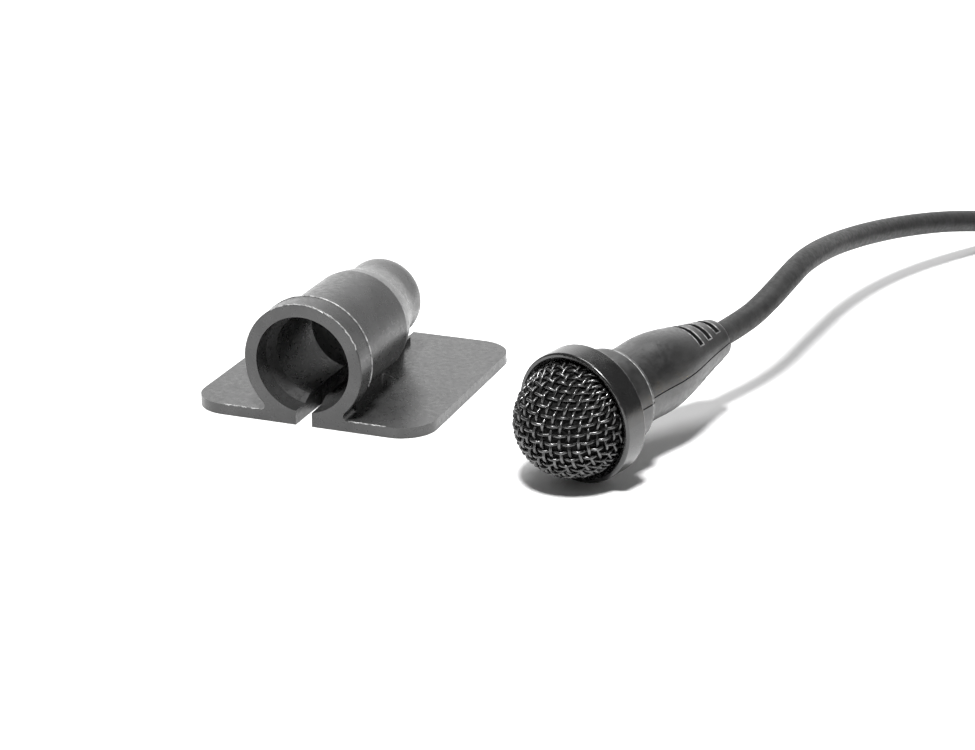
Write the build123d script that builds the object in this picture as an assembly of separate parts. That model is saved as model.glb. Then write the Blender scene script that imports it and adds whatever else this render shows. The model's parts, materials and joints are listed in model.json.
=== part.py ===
"""Lavalier microphone on its lead, with the tape-down holder that it seats in.

Millimetres, +Z up.  The microphone's axis runs along +Y with the grille at the front (-Y) and the
tail raised a little; the holder lies to its left, base down, opening to the front.  The origin is
the middle of the footprint of the microphone and holder, at the level that they rest on.
"""
from build123d import *
from math import cos, pi, radians, sin, sqrt, tan
import os

# ---- driving dimensions ----------------------------------------------------------------------
FIT = 0.05                  # radial gap between nested round pieces

MIC_AT = (19.75, -6.05, 5.94)   # centre of the collar's front rim
MIC_TILT = 4.78             # degrees that the tail is raised
MIC_ROLL = -5.0             # degrees that the body is turned about its own axis

COLLAR_R = 5.95             # outside of the grille collar
COLLAR_LENGTH = 2.5
BEZEL_R = 5.2               # opening of the collar's bevelled front
BEZEL_DEPTH = 0.33
COLLAR_ROUND = 0.22         # rounding of its two outer edges
SHOULDER_AT = 1.2           # ledge in the collar that the grille's skirt seats on

DOME_R = 5.15               # outside of the domed grille at its base
DOME_LENGTH = 5.7           # from its base to its tip
DOME_BASE = 0.3             # station where the dome ends and the straight skirt starts
MESH_THICK = 0.32
FOAM_THICK = 1.2

SPIGOT_R = 4.42             # front of the body, which the collar pushes on to
SPIGOT_AT = 1.25
FLANGE_END = 5.3            # where the seating flange starts to round off
LIP_AT, LIP_R = 6.2, 4.07   # rear edge of the flange's rounded lip
BELLY = [(3.68, 6.4), (3.62, 7.6), (3.63, 9.2), (3.69, 10.6), (3.60, 12.2), (3.30, 14.0)]
TAPER = [(2.82, 16.0), (2.38, 18.0), (2.12, 19.4), (2.0, 20.1)]
TAIL_AT, TAIL_R = 20.5, 1.6     # end face of the upper shell
CHIN = 0.25                 # how much further back the lower shell ends
SEAM_GAP = 0.12             # width of the parting line on the outside
SEAM_DEPTH = 0.35
SEAT_R, SEAT_END = 3.95, 4.15   # seat for the capsule's rubber gasket
CAVITY_R = 2.95
CRIMP_STOP = 15.45          # ledge that holds the ferrule

SLOTS = [(15.5, 57.0), (17.25, 54.0), (19.0, 49.0)]   # station and half angle of each relief slot
SLOT_WIDTH = 0.72
SLOT_DEPTH = 0.5

CABLE_R = 1.165
WIRE_R = 0.22               # each conductor inside the body
CRIMP_R, CRIMP_AT = 1.6, 13.2   # ferrule crimped on the lead
CRIMP_GAP = 0.015
ROOT_AT = 13.0              # cut end of the lead's jacket

CAN_R, CAN_FRONT, CAN_REAR, CAN_WALL = 3.0, 0.75, 3.55, 0.2
STACK_R = CAN_R - CAN_WALL - FIT    # every layer inside the capsule can
FELT_R, FELT_T = 2.6, 0.2

HOLDER_AT = (-7.12, -11.66)         # middle of the holder's front edge
HOLDER_YAW = 20.30                  # degrees that the holder's bore is turned from +Y
PLATE_W, PLATE_L, PLATE_T = 23.45, 24.65, 1.03
PLATE_CORNER = 3.4
BORE_Z = 5.88                       # height of the bore above the base
RING_R, RING_END = 5.8, 2.6
TUBE_R = 5.2
TUBE_END = 12.3                     # where the tube starts to narrow
TUBE_TAIL = [(5.2, 12.3, 0.0), (5.07, 13.0, 0.02), (4.84, 13.9, 0.08), (4.38, 15.2, 0.2), (4.0, 17.0, 0.37),
             (3.62, 19.5, 0.53)]        # radius, station and rise of the narrowing tail's middle
TAIL_CAP = (3.35, 19.85, 0.56)        # end face of the tail, inside its rounded edge
SEAT_BORE_R, SEAT_BORE_END = 4.59, 2.1
BODY_BORE_R, BODY_BORE_START, BODY_BORE_END = 4.04, 3.2, 11.0
TAIL_BORE = [(3.3, 14.5), (2.5, 18.0), (2.4, 21.0)]
FILLET_R = 0.4                      # concave corner where the ring meets the plate
PEDESTAL = [(3.3, 0.0), (3.3, 10.5), (1.95, 14.8), (1.95, 19.4)]
RIB = [(1.7, 18.0), (1.7, 21.65)]       # low rib along the slit behind the pedestal
RIB_HEIGHT = 0.55
TOE = [(4.1, RING_END), (3.3, 4.2)]     # wedge behind the ring's corner
TOE_HEIGHT = 0.6
SLIT_W = 1.6                        # slit along the underside that the lead is pressed through

# The lead's route, from the tail to the coil, and from the coil to the plug.
TAIL_EXIT = TAIL_AT + CHIN          # station on the microphone's axis
EXIT_RUN = 4.8                      # straight run out of the tail
ROUTE = [(19.58, 23.2, 9.1), (18.98, 27.1, 10.05), (17.73, 31.5, 10.35), (15.98, 37.5, 9.8),
         (13.88, 44.7, 8.6), (12.48, 52.5, 7.4), (11.98, 60.5, 6.2), (12.5, 68.29, 5.0),
         (13.6, 75.59, 3.5), (14.3, 82.19, 2.2), (14.4, 88.39, 1.8)]
COIL_AT = (31.1, 89.79)             # middle of the coil
COIL_IN, COIL_OUT = 8.2, 18.0       # inner and outer radius of the coil
COIL_Z = (0.6, 10.3)                # its bottom and top
TAIL_ROUTE = [(47.8, 89.79, 9.0), (48.1, 82.79, 8.8), (48.9, 75.79, 6.9), (49.5, 68.79, 4.4), (49.5, 62.39, 4.4)]
TIE_W, TIE_T, TIE_GAP = 5.0, 0.5, 0.1   # strap round the coil

PLUG_R = 1.75                       # 3.5 mm plug
LOCK_R = 4.4                        # locking ring, which the plug lies on
PLUG_LENGTH = 38.0                  # from the tip to the end of its boot
KNURLS = 28


# ---- helpers -----------------------------------------------------------------------------------
def turned(*corners):
    """Solid of revolution about +Y from the (radius, station) corners of its half section."""
    return revolve(make_face(Polyline(*corners, close=True)), Axis.Y)


def ring(r_in, r_out, start, end):
    """Plain ring, or a disc when r_in is 0."""
    return turned((r_in, start), (r_out, start), (r_out, end), (r_in, end))


def slab(x_half, y_from, y_to, z_from, z_to):
    """Box centred on x = 0 between two stations and two heights."""
    middle = ((y_from + y_to) / 2, (z_from + z_to) / 2)
    return Pos(0, middle[0], middle[1]) * Box(2 * x_half, y_to - y_from, z_to - z_from)


def dome_corners(inset, steps=24):
    """Half section of the grille's elliptical dome, drawn in by inset, from its tip to its base."""
    angles = [pi / 2 * i / steps for i in range(steps + 1)]
    return [((DOME_R - inset) * sin(a), DOME_BASE - (DOME_LENGTH - inset) * cos(a)) for a in angles]


def wire(points, r, radii):
    """Round wire along straight runs joined by tangent arcs."""
    path = FilletPolyline(*points, radius=radii)
    return sweep(Plane(origin=path @ 0, z_dir=path % 0) * Circle(r), path=path)


def lead(name, points):
    """Stretch of the lead along its route, each arc as large as its two runs allow."""
    points = [Vector(*p) for p in points]
    runs = [b - a for a, b in zip(points, points[1:])]
    radii = []
    for before, after in zip(runs, runs[1:]):
        turn = before.get_angle(after)
        radii.append(0.45 * min(before.length, after.length) / tan(radians(turn / 2)))
    tube = wire(points, CABLE_R, radii)
    path = FilletPolyline(*points, radius=radii)
    print(name, "radii", [round(r, 1) for r in radii])
    print(name, "length", round(path.length, 2), "volume ratio",
          round(tube.volume / (pi * CABLE_R ** 2 * path.length), 4))
    return tube


# ---- grille cap ------------------------------------------------------------------------------
def grille_collar():
    half = Polyline((BEZEL_R + 0.4, 0.0), (COLLAR_R, 0.0), (COLLAR_R, COLLAR_LENGTH),
                    (SPIGOT_R + FIT, COLLAR_LENGTH), (SPIGOT_R + FIT, SHOULDER_AT),
                    (BEZEL_R, SHOULDER_AT), (BEZEL_R, BEZEL_DEPTH), close=True)
    face = make_face(half)
    outer = face.vertices().filter_by_position(Axis.X, COLLAR_R - 0.01, COLLAR_R + 0.01)
    return revolve(fillet(outer, COLLAR_ROUND), Axis.Y)


def grille_mesh():
    skirt = [(DOME_R, SHOULDER_AT), (DOME_R - MESH_THICK, SHOULDER_AT)]
    return turned(*dome_corners(0), *skirt, *reversed(dome_corners(MESH_THICK)))


def windscreen_foam():
    outer = MESH_THICK + FIT
    inner = outer + FOAM_THICK
    back = SHOULDER_AT - FIT
    return turned(*dome_corners(outer), (DOME_R - outer, back), (DOME_R - inner, back),
                  *reversed(dome_corners(inner)))


# ---- body shells -----------------------------------------------------------------------------
def body_solid(inset, tail_at):
    """Outside of the body, or the same shape drawn in by inset all round."""
    lip = [(SPIGOT_R - inset, FLANGE_END), (4.31 - inset, 5.85), (LIP_R - inset, LIP_AT)]
    curve = [(r - inset, s) for r, s in BELLY + TAPER]
    front = Line((0, SPIGOT_AT), (SPIGOT_R - inset, SPIGOT_AT))
    flange = Line(front @ 1, lip[0])
    edge = Spline(*lip, tangents=((0, 1), (-0.8, 0.6)))
    step = Line(lip[-1], curve[0])
    belly = Spline(*curve)
    end = Spline(curve[-1], (TAIL_R - inset, tail_at), tangents=(belly % 1, (-1, 0)))
    back = Line(end @ 1, (0, tail_at))
    axis = Line((0, tail_at), (0, SPIGOT_AT))
    return revolve(make_face([front, flange, edge, step, belly, end, back, axis]), Axis.Y)


def body_cavity():
    """Seat for the capsule, room for the wires, the ferrule's ledge and the lead's passage."""
    beyond = TAIL_AT + 2
    passage = CABLE_R + 0.02
    return turned((0, 0), (SEAT_R, 0), (SEAT_R, SEAT_END), (CAVITY_R, SEAT_END), (CAVITY_R, 11.6),
                  (1.75, 14.6), (1.75, CRIMP_STOP), (passage, CRIMP_STOP), (passage, beyond), (0, beyond))


def relief_slots():
    """Arc slots across the top of the tail, each wedge-ended."""
    cutters = []
    for station, half_angle in SLOTS:
        r_out = 4.0
        r_in = tail_radius(station) - SLOT_DEPTH
        band = ring(r_in, r_out, station - SLOT_WIDTH / 2, station + SLOT_WIDTH / 2)
        reach = r_out / cos(radians(half_angle / 2))
        side = (reach * sin(radians(half_angle)), reach * cos(radians(half_angle)))
        wedge = make_face(Polyline((0, 0), side, (0, 2 * r_out), (-side[0], side[1]), close=True))
        wedge = Pos(0, station + SLOT_WIDTH, 0) * Rot(90, 0, 0) * extrude(wedge, 2 * SLOT_WIDTH)
        cutters.append(band & wedge)
    return cutters


def tail_radius(station):
    """Outside radius of the tapering tail, between its listed stations."""
    points = BELLY[-1:] + TAPER
    for (r_a, s_a), (r_b, s_b) in zip(points, points[1:]):
        if s_a <= station <= s_b:
            return r_a + (r_b - r_a) * (station - s_a) / (s_b - s_a)
    return points[-1][0]


def shell(upper):
    """One half of the body: walls, seam groove and relief slots."""
    sign = 1 if upper else -1
    tail_at = TAIL_AT if upper else TAIL_AT + CHIN
    outside = body_solid(0, tail_at)
    half = slab(9, 0, 30, 0, 9) if upper else slab(9, 0, 30, -9, 0)
    groove = slab(9, 0, 30, -SEAM_GAP / 2, SEAM_GAP / 2) - body_solid(SEAM_DEPTH, TAIL_AT)
    piece = (outside & half) - body_cavity() - groove
    for cutter in relief_slots():
        piece -= cutter if upper else Rot(0, 180, 0) * cutter
    return piece


# ---- capsule -----------------------------------------------------------------------------------
def capsule_gasket():
    r_out, r_in = SEAT_R - 0.03, CAN_R + 0.02
    return turned((r_in, SPIGOT_AT + 0.1), (r_out, SPIGOT_AT + 0.1), (r_out, SEAT_END), (2.3, SEAT_END),
                  (2.3, CAN_REAR), (r_in, CAN_REAR))


def capsule_can():
    inner, lip, hole = CAN_R - CAN_WALL, 2.5, 0.5
    return turned((hole, CAN_FRONT), (CAN_R, CAN_FRONT), (CAN_R, CAN_REAR), (lip, CAN_REAR),
                  (lip, CAN_REAR - CAN_WALL), (inner, CAN_REAR - CAN_WALL),
                  (inner, CAN_FRONT + CAN_WALL), (hole, CAN_FRONT + CAN_WALL))


def backplate(start, end):
    """Charged plate with a ring of acoustic holes."""
    plate = ring(0, 2.45, start, end)
    for turn in range(0, 360, 60):
        plate -= Rot(0, turn, 0) * Pos(1.4, 0, 0) * ring(0, 0.2, start - 1, end + 1)
    return plate


def backplate_cup(start, shelf, end):
    """Insulating cup: the plate rests on its shelf."""
    return turned((2.5, start), (STACK_R, start), (STACK_R, end), (2.2, end), (2.2, shelf), (2.5, shelf))


def capsule_layers():
    """Everything inside the can, stacked from the front."""
    s = CAN_FRONT + CAN_WALL
    layers = {}
    layers["diaphragm_ring"] = ring(2.35, STACK_R, s, s + 0.3)
    layers["diaphragm"] = ring(0, STACK_R, s + 0.3, s + 0.34)
    layers["diaphragm_spacer"] = ring(2.35, STACK_R, s + 0.34, s + 0.4)
    layers["backplate"] = backplate(s + 0.4, s + 0.7)
    layers["backplate_cup"] = backplate_cup(s + 0.4, s + 0.7, s + 1.9)
    layers["contact_ring"] = ring(1.85, 2.15, s + 0.7, s + 1.9)
    layers["capsule_board"] = ring(0, STACK_R, s + 1.9, CAN_REAR - CAN_WALL)
    layers["fet"] = Pos(0, s + 1.6, 0) * Box(1.3, 0.6, 0.9)
    return layers


def solder_joints():
    """Two domes of solder on the back of the board."""
    dome = Sphere(0.45) & slab(1, 0, 1, -1, 1)
    return [Pos(x, CAN_REAR - CAN_WALL, 0) * dome for x in (-1.0, 1.0)]


def conductor(side):
    """Wire from a solder joint to the cut end of the lead."""
    points = [(side * 1.0, 3.8, 0), (side * 1.0, 6.2, 0), (side * 0.45, 9.4, 0), (side * 0.45, ROOT_AT, 0)]
    return wire(points, WIRE_R, [4.0, 4.0])


# ---- coil and plug -------------------------------------------------------------------------------
def cable_coil():
    half = Pos((COIL_IN + COIL_OUT) / 2, 0) * RectangleRounded(COIL_OUT - COIL_IN, COIL_Z[1] - COIL_Z[0], 1.1)
    upright = revolve(half, Axis.Y)
    middle = (COIL_Z[0] + COIL_Z[1]) / 2
    return Pos(COIL_AT[0], COIL_AT[1], middle) * Rot(90, 0, 0) * upright


def coil_tie():
    """Strap closed round the coil's section, on the side towards the microphone."""
    near = sqrt(COIL_IN ** 2 - (TIE_W / 2) ** 2) - TIE_GAP
    far = COIL_OUT + TIE_GAP
    height = COIL_Z[1] - COIL_Z[0] + 2 * TIE_GAP
    inner = RectangleRounded(far - near, height, 1.0)
    outer = RectangleRounded(far - near + 2 * TIE_T, height + 2 * TIE_T, 1.0 + TIE_T)
    middle = (COIL_AT[0], COIL_AT[1] - (near + far) / 2, (COIL_Z[0] + COIL_Z[1]) / 2)
    section = Plane(origin=middle, x_dir=(0, 1, 0), z_dir=(1, 0, 0))
    return extrude(section * (outer - inner), TIE_W / 2, both=True)


def plug_pieces():
    """A 3.5 mm three-contact plug with a locking ring, by distance from its tip."""
    pieces = {}
    pieces["plug_tip"] = turned((0, 0), (0.45, 0), (1.5, 1.2), (1.7, 1.6), (1.5, 2.1), (1.28, 2.5),
                                (1.28, 2.8), (1.7, 3.3), (0, 3.3))
    pieces["plug_insulators"] = [ring(0, PLUG_R, 3.3, 4.0), ring(0, PLUG_R, 5.8, 6.5)]
    pieces["plug_ring"] = ring(0, PLUG_R, 4.0, 5.8)
    pieces["plug_sleeve"] = turned((0, 6.5), (PLUG_R, 6.5), (PLUG_R, 11.2), (1.5, 11.3), (1.5, 14.0),
                                   (2.9, 14.0), (2.9, 14.8), (0, 14.8))
    pieces["plug_shell"] = turned((0, 14.8), (3.65, 14.8), (3.65, 15.3), (3.4, 15.3), (3.4, 18.4), (4.0, 18.4),
                                  (4.0, 27.4), (2.7, 31.0), (0, 31.0))
    pieces["plug_boot"] = turned((0, 31.0), (2.2, 31.0), (1.9, 33.0), (1.6, PLUG_LENGTH), (0, PLUG_LENGTH))
    pieces["plug_lock_ring"] = lock_ring()
    return pieces


def lock_ring():
    """Knurled ring, held on the shell's flange by its rear lip."""
    blank = turned((3.0, 11.5), (LOCK_R - 0.3, 11.5), (LOCK_R, 11.8), (LOCK_R, 17.9), (LOCK_R - 0.3, 18.2),
                   (3.4 + FIT, 18.2), (3.4 + FIT, 15.4), (3.65 + FIT, 15.4), (3.65 + FIT, 14.7), (3.0, 14.7))
    groove = Pos(LOCK_R + 0.12, 14.9, 0) * Rot(0, 45, 0) * Box(0.4, 4.2, 0.4)
    for index in range(KNURLS):
        blank -= Rot(0, 360 * index / KNURLS, 0) * groove
    return blank


# ---- holder --------------------------------------------------------------------------------------
def ring_corner(side):
    """Concave corner between the ring and the plate, the length of the ring."""
    drop = BORE_Z - PLATE_T
    foot = sqrt((RING_R + FILLET_R) ** 2 - (drop - FILLET_R) ** 2)
    block = Pos(side * foot / 2, RING_END / 2, PLATE_T + drop / 4) * Box(foot, RING_END, drop / 2)
    scoop = Pos(side * foot, RING_END / 2, PLATE_T + FILLET_R) * Rot(90, 0, 0) * Cylinder(FILLET_R, 2 * RING_END)
    touch = FILLET_R + (drop - FILLET_R) * FILLET_R / (RING_R + FILLET_R)
    above = Pos(side * foot / 2, RING_END / 2, PLATE_T + touch + drop / 2) * Box(2 * foot, 2 * RING_END, drop)
    return block - scoop - above


def symmetric_block(edge, height):
    """Upright block on the base from its (half width, distance back) corners."""
    outline = edge + [(-x, y) for x, y in reversed(edge)]
    return extrude(make_face(Polyline(*outline, close=True)), height)


def narrowing_tail():
    """Rear of the tube, whose middle rises a little as it narrows."""
    sections = [Plane(origin=(0, s, BORE_Z + rise), z_dir=(0, 1, 0)) * Circle(r) for r, s, rise in TUBE_TAIL]
    r, s, rise = TAIL_CAP
    cap = Plane(origin=(0, s, BORE_Z + rise), z_dir=(0, 1, 0)) * Circle(r)
    return loft(sections) + loft([sections[-1], cap], ruled=True)


def holder_outside():
    plate = Pos(0, PLATE_L / 2, PLATE_T / 2) * Box(PLATE_W, PLATE_L, PLATE_T)
    plate = fillet(plate.edges().filter_by(Axis.Z), PLATE_CORNER)
    profile = [(0, 0), (RING_R - 0.08, 0), (RING_R, 0.08), (RING_R, RING_END - 0.2), (RING_R - 0.2, RING_END),
               (TUBE_R, RING_END), (TUBE_R, TUBE_END), (0, TUBE_END)]
    tube = Pos(0, 0, BORE_Z) * turned(*profile) + narrowing_tail()
    pedestal = symmetric_block(PEDESTAL, BORE_Z - 1.5)
    toe = symmetric_block(TOE, PLATE_T + TOE_HEIGHT)
    rib = symmetric_block(RIB, PLATE_T + RIB_HEIGHT)
    solid = plate + tube + pedestal + toe + rib
    solid += ring_corner(1)
    solid += ring_corner(-1)
    return solid & slab(20, 0, 30, 0, 20)


def holder():
    """One moulding: plate, pedestal and the stepped tube that the microphone is pushed into."""
    bore = turned((0, -1), (SEAT_BORE_R, -1), (SEAT_BORE_R, SEAT_BORE_END), (BODY_BORE_R, BODY_BORE_START),
                  (BODY_BORE_R, BODY_BORE_END), *TAIL_BORE, (0, TAIL_BORE[-1][1]))
    slit = slab(SLIT_W / 2, -1, PLATE_L + 1, -1, BORE_Z - 1.0)
    return holder_outside() - Pos(0, 0, BORE_Z) * bore - slit


# ---- assembly --------------------------------------------------------------------------------------
def main():
    os.makedirs("parts", exist_ok=True)
    in_mic = Pos(*MIC_AT) * Rot(MIC_TILT, 0, 0) * Rot(0, MIC_ROLL, 0)
    pieces = {"grille_collar": grille_collar(), "grille_mesh": grille_mesh(),
              "windscreen_foam": windscreen_foam(),
              "upper_shell": shell(True), "lower_shell": shell(False),
              "capsule_gasket": capsule_gasket(), "capsule_can": capsule_can(),
              "dust_felt": ring(0, FELT_R, CAN_FRONT - FELT_T, CAN_FRONT),
              "solder_joints": solder_joints(),
              "signal_wire": conductor(1), "ground_wire": conductor(-1),
              "cable_crimp": ring(CABLE_R + CRIMP_GAP, CRIMP_R, CRIMP_AT, CRIMP_STOP),
              "cable_root": ring(0, CABLE_R, ROOT_AT, TAIL_EXIT)}
    pieces.update(capsule_layers())
    placed = {name: in_mic * Compound(solids_of(piece)) for name, piece in pieces.items()}

    start = [tuple((in_mic * Pos(0, station, 0)).position) for station in (TAIL_EXIT, TAIL_EXIT + EXIT_RUN)]
    print("cable start", [tuple(round(v, 3) for v in point) for point in start])
    placed["cable"] = lead("cable", start + ROUTE)
    placed["cable_coil"] = cable_coil()
    placed["cable_tail"] = lead("cable_tail", TAIL_ROUTE)
    placed["coil_tie"] = coil_tie()

    boot_end = TAIL_ROUTE[-1]
    in_plug = Pos(boot_end[0], boot_end[1] - PLUG_LENGTH, LOCK_R)
    for name, piece in plug_pieces().items():
        placed[name] = in_plug * Compound(solids_of(piece))
    placed["holder"] = Pos(HOLDER_AT[0], HOLDER_AT[1], 0) * Rot(0, 0, HOLDER_YAW) * holder()

    for name, piece in placed.items():
        export_step(piece, f"parts/{name}.step")


def solids_of(piece):
    """The separate solids of a piece that is one shape or a list of them."""
    shapes = piece if isinstance(piece, list) else [piece]
    return [solid for shape in shapes for solid in shape.solids()]


main()
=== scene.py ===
"""Looks for the lavalier microphone and its tape-down holder, in metres, in the CAD frame."""

import json
from math import cos, pi, radians, sin, sqrt

import bpy
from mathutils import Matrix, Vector
from mathutils.noise import noise as lumps


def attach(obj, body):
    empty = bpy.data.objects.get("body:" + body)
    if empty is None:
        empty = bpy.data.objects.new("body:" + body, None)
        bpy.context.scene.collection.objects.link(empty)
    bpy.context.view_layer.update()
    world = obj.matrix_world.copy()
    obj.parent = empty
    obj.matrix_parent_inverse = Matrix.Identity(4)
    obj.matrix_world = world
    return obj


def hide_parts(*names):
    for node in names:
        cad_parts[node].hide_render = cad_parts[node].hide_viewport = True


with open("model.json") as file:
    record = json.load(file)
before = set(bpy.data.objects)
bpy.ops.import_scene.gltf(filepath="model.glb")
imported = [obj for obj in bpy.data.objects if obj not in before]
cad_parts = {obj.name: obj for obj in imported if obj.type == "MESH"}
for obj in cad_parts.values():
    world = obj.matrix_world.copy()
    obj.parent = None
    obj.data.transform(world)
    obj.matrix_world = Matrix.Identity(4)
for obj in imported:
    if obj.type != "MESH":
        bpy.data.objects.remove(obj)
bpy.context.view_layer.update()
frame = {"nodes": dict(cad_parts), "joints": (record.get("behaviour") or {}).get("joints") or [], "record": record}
nodes = frame["nodes"]
joints = {joint["name"]: joint for joint in frame["joints"]}
mounts = {mount["name"]: mount for mount in frame["record"]["mounts"]}
MM = 0.001

# ---- places, all worked out from the frame ----------------------------------------------------
FORWARD = Vector(joints["grille_pull"]["axis"])         # out of the grille, along the microphone's axis
UP = (Vector((0, 0, 1)) - FORWARD * FORWARD.z).normalized()
SIDE = UP.cross(FORWARD)
COLLAR_MIDDLE = 1.25 * MM                               # the collar mount is this far behind the rim
RIM = Vector(mounts["collar_seat"]["pos_m"]) + COLLAR_MIDDLE * FORWARD

DOME_R = 5.15 * MM                                      # outside of the grille at its base
DOME_LENGTH = 5.7 * MM                                  # from there to its tip
DOME_BASE = RIM - 0.3 * MM * FORWARD


# ---- camera ---------------------------------------------------------------------------------
def make_camera():
    """A long lens looking down at the pair from the microphone's front right."""
    azimuth, elevation, distance = radians(40.729), radians(20.57), 231.4 * MM
    aim = Vector((-3.057, 9.295, 0)) * MM
    back = Vector((sin(azimuth) * cos(elevation), -cos(azimuth) * cos(elevation), sin(elevation)))
    data = bpy.data.cameras.new("camera")
    data.sensor_width = 36
    data.lens = 88.6
    data.clip_start, data.clip_end = 0.01, 20
    camera = bpy.data.objects.new("camera", data)
    camera.location = aim + distance * back
    camera.rotation_mode = "QUATERNION"
    camera.rotation_quaternion = (-back).to_track_quat("-Z", "Y")
    bpy.context.scene.collection.objects.link(camera)
    bpy.context.scene.camera = camera


# ---- lead --------------------------------------------------------------------------------------
CABLE_D = 2.33 * MM
START = [(19.75, 14.628, 7.669), (19.75, 19.411, 8.069)]
ROUTE = [(19.58, 23.2, 9.1), (18.98, 27.1, 10.05), (17.73, 31.5, 10.35), (15.98, 37.5, 9.8),
         (13.88, 44.7, 8.6), (12.48, 52.5, 7.4), (11.98, 60.5, 6.2), (12.5, 68.29, 5.0),
         (13.6, 75.59, 3.5), (14.3, 82.19, 2.2), (14.4, 88.39, 1.8)]
TAIL_ROUTE = [(48.1, 82.79, 8.8), (48.9, 75.79, 6.9), (49.5, 68.79, 4.4), (49.5, 62.39, 4.4)]
COIL_AT = (31.1, 89.79)
COIL_TURNS = 4              # turns in each layer
COIL_LAYERS = 4
COIL_PITCH = 2.4            # turn to turn and layer to layer
COIL_INNER = 9.5            # radius of the innermost turn
COIL_BASE = 1.8             # height of the lowest layer
POINTS_PER_TURN = 16


def coil_points():
    """Flat spirals, in and out by turns, stacked from the floor up; the lead comes in on the left."""
    reach = COIL_TURNS - 1
    stretch = 1 / cos(pi / POINTS_PER_TURN) ** 0.5
    points = []
    turned = pi
    for layer in range(COIL_LAYERS):
        steps = POINTS_PER_TURN * COIL_TURNS
        for step in range(steps):
            share = step / (steps - 1)
            inward = share if layer % 2 == 0 else 1 - share
            radius = (COIL_INNER + COIL_PITCH * reach * (1 - inward)) * stretch
            climb = min(1, step / (POINTS_PER_TURN / 4)) if layer else 1
            height = COIL_BASE + COIL_PITCH * (layer - 1 + climb)
            angle = turned - 2 * pi * step / POINTS_PER_TURN
            points.append((COIL_AT[0] + radius * cos(angle), COIL_AT[1] + radius * sin(angle), height))
        turned -= 2 * pi * steps / POINTS_PER_TURN
    return points


def half_turn():
    """The last half turn on the top layer, round to the side where the plug lies."""
    radius = COIL_INNER + COIL_PITCH * (COIL_TURNS - 1)
    height = COIL_BASE + COIL_PITCH * (COIL_LAYERS - 1)
    points = []
    for step in range(POINTS_PER_TURN // 2 + 1):
        angle = pi - 2 * pi * step / POINTS_PER_TURN
        points.append((COIL_AT[0] + radius * cos(angle), COIL_AT[1] + radius * sin(angle), height))
    return points


def make_lead():
    """The whole lead as one smooth curve: free stretch, coil, and the last stretch to the plug."""
    points = START + ROUTE + coil_points()[1:] + half_turn() + TAIL_ROUTE
    data = bpy.data.curves.new("lead", "CURVE")
    data.dimensions = "3D"
    spline = data.splines.new("NURBS")
    spline.points.add(len(points) - 1)
    for target, point in zip(spline.points, points):
        target.co = (*(Vector(point) * MM), 1)
        target.radius = CABLE_D / 2
    spline.order_u = 3
    spline.use_endpoint_u = True
    spline.resolution_u = 6
    data.bevel_depth = 1.0          # times each point's radius
    data.bevel_resolution = 8
    data.use_fill_caps = True
    lead = bpy.data.objects.new("lead", data)
    bpy.context.scene.collection.objects.link(lead)
    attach(lead, "microphone")
    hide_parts("cable", "cable_coil", "cable_tail")
    return lead


# ---- materials -----------------------------------------------------------------------------------
class Shade:
    """A node material being built: a Principled shader with procedural inputs."""

    def __init__(self, name, colour, roughness, metallic=0.0, specular=0.5):
        self.material = bpy.data.materials.new(name)
        self.material.use_nodes = True
        self.tree = self.material.node_tree
        self.surface = self.tree.nodes["Principled BSDF"]
        self.surface.inputs["Base Color"].default_value = (*colour, 1)
        self.surface.inputs["Roughness"].default_value = roughness
        self.surface.inputs["Metallic"].default_value = metallic
        self.surface.inputs["Specular IOR Level"].default_value = specular
        self.material.diffuse_color = (*colour, 1)
        self.place = self.add("ShaderNodeTexCoord").outputs["Object"]
        self.normal = None

    def add(self, kind, **settings):
        node = self.tree.nodes.new(kind)
        for key, value in settings.items():
            setattr(node, key, value)
        return node

    def link(self, source, target):
        self.tree.links.new(source, target)

    def noise(self, size, detail=3.0, roughness=0.55, stretch=(1, 1, 1)):
        """Noise whose features are about size metres across."""
        mapping = self.add("ShaderNodeMapping")
        mapping.inputs["Scale"].default_value = stretch
        self.link(self.place, mapping.inputs["Vector"])
        noise = self.add("ShaderNodeTexNoise")
        noise.inputs["Scale"].default_value = 1 / size
        noise.inputs["Detail"].default_value = detail
        noise.inputs["Roughness"].default_value = roughness
        self.link(mapping.outputs["Vector"], noise.inputs["Vector"])
        return noise.outputs["Fac"]

    def spread(self, source, low, high, start=0.35, end=0.65):
        """Maps a noise to a range of numbers."""
        node = self.add("ShaderNodeMapRange")
        node.inputs["From Min"].default_value = start
        node.inputs["From Max"].default_value = end
        node.inputs["To Min"].default_value = low
        node.inputs["To Max"].default_value = high
        self.link(source, node.inputs["Value"])
        return node.outputs["Result"]

    def mottle(self, source, dark, light, start=0.35, end=0.65):
        """Colour that wanders between two shades."""
        node = self.add("ShaderNodeMix", data_type="RGBA")
        node.inputs["A"].default_value = (*dark, 1)
        node.inputs["B"].default_value = (*light, 1)
        self.link(self.spread(source, 0, 1, start, end), node.inputs["Factor"])
        self.link(node.outputs["Result"], self.surface.inputs["Base Color"])

    def rough(self, source, low, high):
        self.link(self.spread(source, low, high), self.surface.inputs["Roughness"])

    def bump(self, source, height, strength=1.0):
        """Relief of that height in metres, on top of any relief already there."""
        node = self.add("ShaderNodeBump")
        node.inputs["Strength"].default_value = strength
        node.inputs["Distance"].default_value = height
        self.link(source, node.inputs["Height"])
        if self.normal:
            self.link(self.normal, node.inputs["Normal"])
        self.normal = node.outputs["Normal"]
        self.link(self.normal, self.surface.inputs["Normal"])


def grey(value):
    return (value, value, value)


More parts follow.
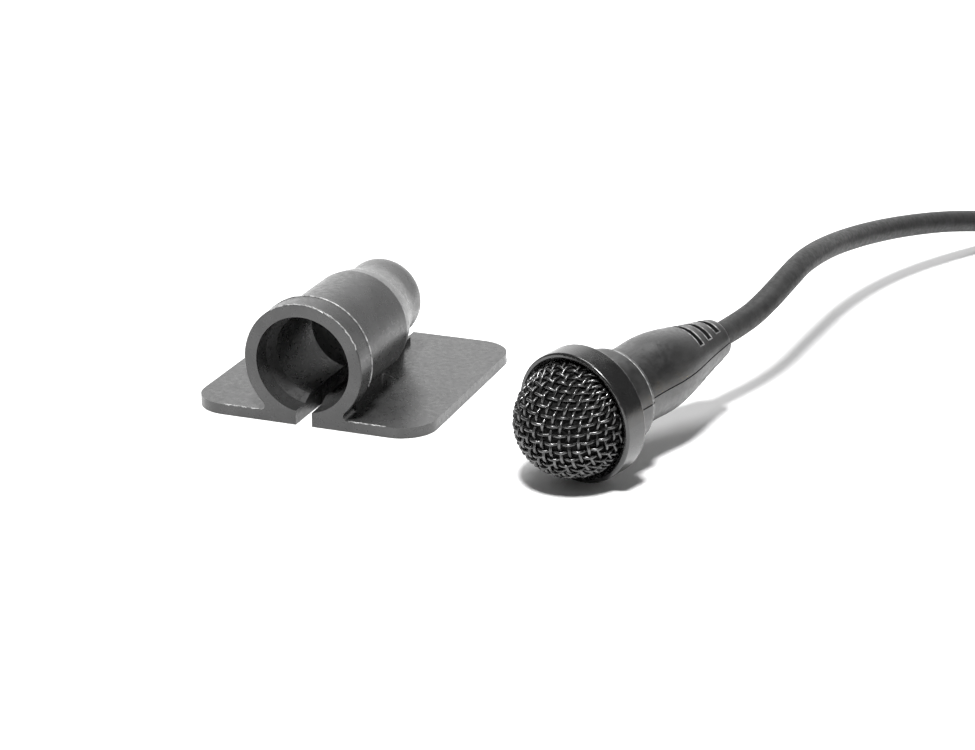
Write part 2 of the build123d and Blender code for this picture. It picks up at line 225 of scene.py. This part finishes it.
def moulded(name, dark, light, roughness, grain=0.12 * MM, depth=0.006 * MM, specular=0.5):
    """Fine spark-eroded plastic: soft mottling, uneven gloss and a tight grain."""
    shade = Shade(name, grey(light), roughness, specular=specular)
    shade.mottle(shade.noise(2.5 * MM, 4), grey(dark), grey(light))
    shade.rough(shade.noise(0.5 * MM, 4), roughness - 0.05, roughness + 0.09)
    shade.bump(shade.noise(0.9 * MM, 3), 0.008 * MM, 0.6)
    shade.bump(shade.noise(grain, 2), depth)
    return shade


def satin_black(name, value=0.018, roughness=0.3):
    """Baked satin finish on turned metal, with a little orange peel."""
    shade = Shade(name, grey(value), roughness, specular=0.9)
    shade.mottle(shade.noise(1.5 * MM, 3), grey(value * 0.8), grey(value * 1.25))
    shade.rough(shade.noise(0.8 * MM, 4), roughness - 0.03, roughness + 0.04)
    shade.bump(shade.noise(0.7 * MM, 2), 0.0012 * MM)
    return shade.material


def rubber(name, value=0.03, roughness=0.55):
    """Matt rubber or soft vinyl with a talc-like bloom."""
    shade = Shade(name, grey(value), roughness, specular=0.4)
    shade.mottle(shade.noise(1.1 * MM, 5), grey(value * 0.75), grey(value * 1.35))
    shade.rough(shade.noise(0.4 * MM, 4), roughness - 0.08, roughness + 0.1)
    shade.bump(shade.noise(0.18 * MM, 3), 0.004 * MM)
    return shade.material


def metal(name, colour, roughness=0.3, wear=0.12):
    """Bare or plated metal with drawn marks and uneven polish."""
    shade = Shade(name, colour, roughness, metallic=1.0)
    darker = tuple(c * (1 - wear) for c in colour)
    shade.mottle(shade.noise(0.6 * MM, 4), darker, colour)
    shade.rough(shade.noise(0.2 * MM, 4, stretch=(1, 0.2, 1)), roughness - 0.06, roughness + 0.08)
    shade.bump(shade.noise(0.08 * MM, 2, stretch=(1, 0.15, 1)), 0.0008 * MM)
    return shade.material


def wire_cloth(name):
    """Blackened steel wire, rubbed brighter here and there on its crowns."""
    shade = Shade(name, grey(0.09), 0.3, metallic=0.9, specular=0.6)
    shade.mottle(shade.noise(0.5 * MM, 4), grey(0.05), grey(0.14))
    shade.rough(shade.noise(0.2 * MM, 4), 0.2, 0.36)
    shade.bump(shade.noise(0.06 * MM, 2), 0.002 * MM)
    return shade.material


def open_foam(name):
    """Black open-cell foam."""
    shade = Shade(name, grey(0.006), 0.95, specular=0.1)
    cells = shade.add("ShaderNodeTexVoronoi", feature="SMOOTH_F1")
    cells.inputs["Scale"].default_value = 1 / (0.25 * MM)
    shade.link(shade.place, cells.inputs["Vector"])
    shade.mottle(cells.outputs["Distance"], grey(0.002), grey(0.012), 0.1, 0.6)
    shade.bump(cells.outputs["Distance"], 0.05 * MM)
    return shade.material


def fibres(name, value, size):
    """Felt, or the loops of a fabric tape."""
    shade = Shade(name, grey(value), 0.9, specular=0.2)
    shade.surface.inputs["Sheen Weight"].default_value = 0.3
    strands = shade.noise(size, 5, stretch=(1, 0.3, 1))
    shade.mottle(strands, grey(value * 0.5), grey(value * 1.5))
    shade.bump(strands, size * 0.5)
    return shade.material


def lacquer(name, colour, roughness=0.25):
    """Glossy resin, such as a board's mask or a wire's insulation."""
    shade = Shade(name, colour, roughness)
    darker = tuple(c * 0.8 for c in colour)
    shade.mottle(shade.noise(0.4 * MM, 3), darker, colour)
    shade.rough(shade.noise(0.2 * MM, 3), roughness - 0.05, roughness + 0.1)
    shade.bump(shade.noise(0.1 * MM, 2), 0.001 * MM)
    return shade.material


def edge_highlight_paint(name, value):
    """Plastic painted pale along a thin edge, unevenly: a painted highlight along the edge."""
    shade = Shade(name, grey(value), 0.45)
    shade.mottle(shade.noise(0.5 * MM, 4), grey(value * 0.35), grey(value), 0.4, 0.58)
    shade.rough(shade.noise(0.2 * MM, 3), 0.35, 0.55)
    shade.bump(shade.noise(0.1 * MM, 2), 0.008 * MM)
    return shade.material


def holder_plastic():
    """The holder's plastic, painted paler on the narrowing tail than on the rest: painted light for the tail's
    lighter shading where the tube tapers.
    """
    shade = moulded("holder_plastic", 0.022, 0.034, 0.3, specular=0.7)
    plain = shade.surface.inputs["Base Color"].links[0].from_socket
    along = shade.add("ShaderNodeVectorMath", operation="DOT_PRODUCT")
    along.inputs[1].default_value = HOLDER_AXIS
    shade.link(shade.place, along.inputs[0])
    start, blend = HOLDER_FRONT.dot(HOLDER_AXIS) + TUBE_LENGTH * MM, 0.15 * MM
    behind = shade.spread(along.outputs["Value"], 0, 1, start - blend, start + blend)
    height = shade.add("ShaderNodeSeparateXYZ")
    shade.link(shade.place, height.inputs["Vector"])
    low, high = (PLATE_TOP + 0.9) * MM, (PLATE_TOP + 1.4) * MM      # the plate keeps the plain colour, without the painted light
    above = shade.spread(height.outputs["Z"], 0, 1, low, high)
    both = shade.add("ShaderNodeMath", operation="MULTIPLY")
    shade.link(behind, both.inputs[0])
    shade.link(above, both.inputs[1])
    # painted light: the tail above the plate is mixed towards a paler grey
    mix = shade.add("ShaderNodeMix", data_type="RGBA")
    mix.inputs["B"].default_value = (*grey(TAIL_PAINTED_LIGHT_GREY), 1)
    shade.link(plain, mix.inputs["A"])
    shade.link(both.outputs["Value"], mix.inputs["Factor"])
    shade.link(mix.outputs["Result"], shade.surface.inputs["Base Color"])
    return shade.material


def paint(material, *objects):
    for item in objects:
        item.data.materials.clear()
        item.data.materials.append(material)


# ---- mesh helpers --------------------------------------------------------------------------------
def new_piece(name, vertices, faces, smooth=True):
    mesh = bpy.data.meshes.new(name)
    mesh.from_pydata(vertices, [], faces)
    mesh.validate()
    mesh.polygons.foreach_set("use_smooth", [smooth] * len(mesh.polygons))
    piece = bpy.data.objects.new(name, mesh)
    bpy.context.scene.collection.objects.link(piece)
    return piece


def tubes(name, paths, radius, sides=8):
    """Closed round tubes along lists of points, as one piece."""
    vertices, faces = [], []
    for path in paths:
        first = len(vertices)
        across = None
        for index, point in enumerate(path):
            ahead = path[min(index + 1, len(path) - 1)] - path[max(index - 1, 0)]
            ahead.normalize()
            if across is None:
                across = ahead.orthogonal()
            across = (across - ahead * across.dot(ahead)).normalized()
            other = ahead.cross(across)
            for side in range(sides):
                angle = 2 * pi * side / sides
                vertices.append(point + radius * (cos(angle) * across + sin(angle) * other))
        for ring in range(len(path) - 1):
            start = first + ring * sides
            for side in range(sides):
                after = (side + 1) % sides
                faces.append((start + side, start + after, start + sides + after, start + sides + side))
        last = first + (len(path) - 1) * sides
        faces.append(tuple(first + side for side in reversed(range(sides))))
        faces.append(tuple(last + side for side in range(sides)))
    return new_piece(name, vertices, faces)


# ---- grille --------------------------------------------------------------------------------------
MESH_PITCH = 0.76 * MM
WIRE_R = 0.14 * MM
CLOTH_R, CLOTH_LENGTH = DOME_R - 2 * WIRE_R, DOME_LENGTH - 2 * WIRE_R   # the cloth's middle surface
SKIRT_ANGLE = radians(98)               # how far round the cloth runs, into the collar


def cloth_crossings(reach):
    """Unit vectors of the wires' crossings: square cloth pressed over a ball keeps its spacing and shears."""
    step = MESH_PITCH / CLOTH_R
    grid = {}
    for i in range(reach + 1):
        grid[i, 0] = sin(i * step) * SIDE + cos(i * step) * FORWARD
        grid[0, i] = sin(i * step) * UP + cos(i * step) * FORWARD
    for i in range(1, reach + 1):
        for j in range(1, reach + 1):
            left, below, corner = grid.get((i - 1, j)), grid.get((i, j - 1)), grid.get((i - 1, j - 1))
            if not (left and below and corner):
                continue
            total, normal = left + below, left.cross(below)
            along = cos(step) / (1 + left.dot(below))
            rest = 1 - along ** 2 * total.length_squared
            if rest <= 0 or normal.length < 1e-6:
                continue
            lift = sqrt(rest) / normal.length * normal
            choices = (along * total + lift, along * total - lift)
            grid[i, j] = min(choices, key=lambda v: v.dot(corner))
    return {key: v for key, v in grid.items() if v.dot(FORWARD) > cos(SKIRT_ANGLE)}


def mirrored(grid):
    """All four quarters of the cloth from one."""
    whole = {}
    for (i, j), v in grid.items():
        for a in (1, -1):
            for b in (1, -1):
                side, up = v.dot(SIDE), v.dot(UP)
                whole[a * i, b * j] = a * side * SIDE + b * up * UP + v.dot(FORWARD) * FORWARD
    return whole


def on_dome(direction, lift):
    """Point of the elliptical dome, or of the skirt behind it, lifted off the cloth's middle surface."""
    ahead = direction.dot(FORWARD)
    outward = direction - ahead * FORWARD
    if ahead < 0:
        outward.normalize()
    return DOME_BASE + (CLOTH_R + lift) * outward + (CLOTH_LENGTH + lift * (ahead > 0)) * ahead * FORWARD


def between(a, b, c, d, t):
    """Smooth step from b to c, with a before and d after."""
    return 0.5 * (2 * b + t * (c - a) + t * t * (2 * a - 5 * b + 4 * c - d)
                  + t ** 3 * (3 * b - a - 3 * c + d))


def wire_path(crossings, first_over, steps=7):
    """Centre line of one wire, over and under the wires that it crosses."""
    path = []
    last = len(crossings) - 1
    for k in range(last):
        a, b = crossings[max(k - 1, 0)], crossings[k]
        c, d = crossings[k + 1], crossings[min(k + 2, last)]
        for step in range(steps + (k == last - 1)):
            t = step / steps
            wave = cos(pi * (k + t)) * (1 if first_over else -1)
            direction = between(a, b, c, d, t).normalized()
            path.append(on_dome(direction, WIRE_R * wave))
    return path


def make_grille():
    """Plain-woven wire cloth pressed into a dome: one piece for each set of wires."""
    reach = 15
    grid = mirrored(cloth_crossings(reach))
    made = []
    for name, across in (("grille_weft", False), ("grille_warp", True)):
        paths = []
        for row in range(-reach, reach + 1):
            keys = [(row, k) if across else (k, row) for k in range(-reach, reach + 1)]
            keys = [key for key in keys if key in grid]
            if len(keys) > 2:
                over = (sum(keys[0]) % 2 == 0) != across
                paths.append(wire_path([grid[key] for key in keys], over))
        piece = tubes(name, paths, WIRE_R)
        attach(piece, "grille_cap")
        made.append(piece)
    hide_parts("grille_mesh")
    return made


def make_foam():
    """Foam lining under the cloth: a thick elliptical dome with a soft, uneven skin."""
    rings, around = 40, 96
    inset, thick, skirt_end = 0.42 * MM, 1.1 * MM, 0.75 * MM
    lump_size, lump_height = 0.45 * MM, 0.03 * MM
    profile = [(inset, pi / 2 * i / rings) for i in range(1, rings + 1)]
    profile += [(inset, None), (inset + thick, None)]
    profile += [(inset + thick, pi / 2 * i / rings) for i in range(rings, 0, -1)]
    vertices, faces = [], []
    for depth, angle in profile:
        out = DOME_R - depth
        ahead = -skirt_end
        if angle is not None:
            out, ahead = out * sin(angle), (DOME_LENGTH - depth) * cos(angle)
        for k in range(around):
            turn = 2 * pi * k / around
            cells = lumps(Vector((out * cos(turn), out * sin(turn), ahead)) / lump_size)
            outward = (out + lump_height * cells) * (cos(turn) * SIDE + sin(turn) * UP)
            vertices.append(DOME_BASE + outward + ahead * FORWARD)
    for row in range(len(profile) - 1):
        for k in range(around):
            after = (k + 1) % around
            low, high = row * around, (row + 1) * around
            faces.append((low + k, low + after, high + after, high + k))
    for first, depth in ((0, inset), ((len(profile) - 1) * around, inset + thick)):
        tip = len(vertices)
        vertices.append(DOME_BASE + (DOME_LENGTH - depth) * FORWARD)
        for k in range(around):
            edge = (first + (k + 1) % around, first + k)
            faces.append((tip, *(edge if first == 0 else reversed(edge))))
    foam = new_piece("foam_lining", vertices, faces)
    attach(foam, "grille_cap")
    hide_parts("windscreen_foam")
    return foam


# ---- moulding marks ---------------------------------------------------------------------------------
BODY_ROLL = radians(-5.0)               # the body is turned this much about the microphone's axis
SLOTS = [(15.5, 57.0), (17.25, 54.0), (19.0, 49.0)]     # station and half angle of each relief slot
SLOT_HALF = 0.36
LIP_OUT, LIP_SINK, LIP_R = 0.04, 0.02, 0.065            # off the slot's edge, into the wall, and its radius
LIP_EXTRA = 1.5                         # degrees that a lip runs past each end of its slot
BEAD_AT, BEAD_OUT, BEAD_R = 5.62, 4.33, 0.08            # bead round the back of the flange
TAIL_RADII = [(14.0, 3.30), (16.0, 2.82), (18.0, 2.38), (19.4, 2.12), (20.1, 2.0)]


def on_body(station, angle, radius):
    """Point behind the rim, by station, angle from the top and radius in millimetres and degrees."""
    turn = radians(angle) + BODY_ROLL
    return RIM - station * MM * FORWARD + radius * MM * (sin(turn) * SIDE + cos(turn) * UP)


def tail_radius(station):
    for (s_a, r_a), (s_b, r_b) in zip(TAIL_RADII, TAIL_RADII[1:]):
        if station <= s_b:
            return r_a + (r_b - r_a) * (station - s_a) / (s_b - s_a)
    return TAIL_RADII[-1][1]


def make_slot_lips():
    """Thin raised lips round the relief slots, above and below, and a bead round the back of the flange."""
    paths = []
    for station, half in SLOTS:
        for top in (0, 180):
            front, rear = station - SLOT_HALF - LIP_OUT, station + SLOT_HALF + LIP_OUT
            reach = half + LIP_EXTRA
            angles = [top - reach + 2 * reach * i / 24 for i in range(25)]
            loop = [on_body(front, a, tail_radius(front) - LIP_SINK) for a in angles]
            loop += [on_body(rear, a, tail_radius(rear) - LIP_SINK) for a in reversed(angles)]
            paths.append(loop + [loop[0]])
    lips = tubes("slot_lips", paths, LIP_R * MM, 6)
    steps = 96
    flange = [on_body(BEAD_AT, 360 * i / steps, BEAD_OUT) for i in range(steps + 1)]
    bead = tubes("flange_bead", [flange], BEAD_R * MM)
    for piece in (lips, bead):
        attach(piece, "microphone")
    return lips, bead


HOLDER_AXIS = Vector(joints["holder_slide"]["axis"])
HOLDER_RIGHT = HOLDER_AXIS.cross(Vector((0, 0, 1)))
HOLDER_FRONT = Vector(mounts["holder_bore"]["pos_m"]) - 1.05 * MM * HOLDER_AXIS    # middle of the bore's mouth
RING_R = 5.8
RING_LENGTH = 2.6
TUBE_LENGTH = 12.3                      # where the tube starts to narrow
# grey painted on the holder's narrowing tail: painted light for its lighter shading
TAIL_PAINTED_LIGHT_GREY = 0.075
PLATE_TOP, BORE_HEIGHT = 1.03, 5.88


def on_holder(across, back, height):
    """Point of the holder in millimetres: across its middle, back from its front and up from its base."""
    return (HOLDER_FRONT + across * MM * HOLDER_RIGHT + back * MM * HOLDER_AXIS
            + (height - BORE_HEIGHT) * MM * Vector((0, 0, 1)))


def ragged(points, seed, wobble):
    """A thin uneven bead of moulding flash along the points."""
    path = []
    for index, point in enumerate(points):
        shift = Vector((sin(seed + 7.3 * index), sin(2 * seed + 5.1 * index), sin(3 * seed + 9.7 * index)))
        path.append(point + wobble * MM * shift)
    return path


def make_flash():
    """Moulding flash on the holder's edges: the ring's front and rear rims and the plate's front."""
    def rim(back, radius, start, end, steps):
        turns = [radians(start + (end - start) * i / steps) for i in range(steps + 1)]
        return [on_holder(radius * sin(a), back, BORE_HEIGHT + radius * cos(a)) for a in turns]

    def along_plate(start, step=0.16, count=24):
        return [on_holder(start + step * i, 0.04, PLATE_TOP) for i in range(count)]

    front = ragged(rim(0.05, RING_R - 0.02, -32, 68, 60), 0.4, 0.03)
    left, right = along_plate(-8.2), along_plate(4.4)
    flash = tubes("holder_flash", [front, ragged(left, 1.2, 0.03), ragged(right, 2.1, 0.025)],
                  0.055 * MM, 6)
    bead = tubes("ring_bead", [rim(RING_LENGTH - 0.12, RING_R - 0.01, -112, 112, 96)], 0.09 * MM)
    for piece in (flash, bead):
        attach(piece, "holder")
    return flash, bead


# ---- stage ----------------------------------------------------------------------------------------
def make_floor():
    size = 3.0
    corners = [(-size, -size, 0), (size, -size, 0), (size, size, 0), (-size, size, 0)]
    floor = new_piece("floor", [Vector(c) for c in corners], [(0, 1, 2, 3)], smooth=False)
    shade = Shade("paper", grey(0.9), 0.9, specular=0.1)
    paint(shade.material, floor)


def area_light(name, toward, distance, size, power):
    data = bpy.data.lights.new(name, "AREA")
    data.shape = "DISK"
    data.size = size
    data.energy = power
    light = bpy.data.objects.new(name, data)
    direction = Vector(toward).normalized()
    light.location = distance * direction
    light.rotation_mode = "QUATERNION"
    light.rotation_quaternion = direction.to_track_quat("Z", "Y")
    bpy.context.scene.collection.objects.link(light)


def make_world(near, far):
    """White studio that is bright low down behind the object and dim elsewhere."""
    bright = (-0.652, 0.758, -0.3)      # more of this direction is brighter
    world = bpy.data.worlds.new("studio")
    world.use_nodes = True
    tree = world.node_tree
    place = tree.nodes.new("ShaderNodeTexCoord")
    along = tree.nodes.new("ShaderNodeVectorMath")
    along.operation = "DOT_PRODUCT"
    along.inputs[1].default_value = bright
    level = tree.nodes.new("ShaderNodeMapRange")
    level.interpolation_type = "SMOOTHSTEP"
    level.inputs["From Min"].default_value = 0.45
    level.inputs["From Max"].default_value = 0.8
    level.inputs["To Min"].default_value = near
    level.inputs["To Max"].default_value = far
    background = tree.nodes["Background"]
    background.inputs["Color"].default_value = (1, 1, 1, 1)
    tree.links.new(place.outputs["Generated"], along.inputs[0])
    tree.links.new(along.outputs["Value"], level.inputs["Value"])
    tree.links.new(level.outputs["Result"], background.inputs["Strength"])
    bpy.context.scene.world = world


def make_lights():
    area_light("key", (0.24, -0.37, 1.0), 1.1, 0.2, 20.0)
    area_light("overhead", (-0.2, 0.3, 1.0), 1.1, 0.6, 6.0)
    make_world(0.13, 1.6)
    bpy.context.scene.view_settings.view_transform = "Standard"


# ---- making it ------------------------------------------------------------------------------------
make_camera()
lead = make_lead()
make_floor()
make_lights()

grille = make_grille()
paint(open_foam("lining"), make_foam())
paint(wire_cloth("wire_cloth"), *grille)
paint(rubber("cable_vinyl", 0.022), lead)

LOOKS = {
    "collar_black": satin_black("collar_black", 0.006, 0.24),
    "body_plastic": moulded("body_plastic", 0.008, 0.02, 0.36, 0.1 * MM, 0.011 * MM, 0.9).material,
    "holder_plastic": holder_plastic(),
    "foam_black": open_foam("foam_black"),
    "soft_rubber": rubber("soft_rubber", 0.025),
    "cable_jacket": rubber("cable_jacket", 0.045),
    "capsule_aluminium": metal("capsule_aluminium", grey(0.75), 0.35),
    "felt": fibres("felt", 0.04, 0.15 * MM),
    "contact_brass": metal("contact_brass", (0.80, 0.60, 0.28), 0.25),
    "film": metal("film", grey(0.8), 0.12, 0.05),
    "insulator": lacquer("insulator", grey(0.02)),
    "chip_black": moulded("chip_black", 0.02, 0.03, 0.5).material,
    "board_green": lacquer("board_green", (0.02, 0.14, 0.05)),
    "solder": metal("solder", grey(0.7), 0.2),
    "wire_red": lacquer("wire_red", (0.42, 0.03, 0.02), 0.35),
    "wire_copper": metal("wire_copper", (0.75, 0.40, 0.22), 0.3),
    "tie_fabric": fibres("tie_fabric", 0.02, 0.35 * MM),
    "plug_black": satin_black("plug_black", 0.02, 0.35),
    "plug_nickel": metal("plug_nickel", grey(0.62), 0.25),
    "plug_gold": metal("plug_gold", (0.90, 0.66, 0.28), 0.16),
}
lips = make_slot_lips()
marks = make_flash()
# the slot lips, the flange bead, the holder's flash and its ring bead are painted pale: a painted highlight along
# these edges
paint(edge_highlight_paint("body_edge_highlight", 0.3), *lips)
paint(edge_highlight_paint("holder_edge_highlight", 0.4), *marks)
for subpart in frame["record"]["subparts"]:
    paint(LOOKS.get(subpart["material_slot"], LOOKS["body_plastic"]), nodes[subpart["node"]])
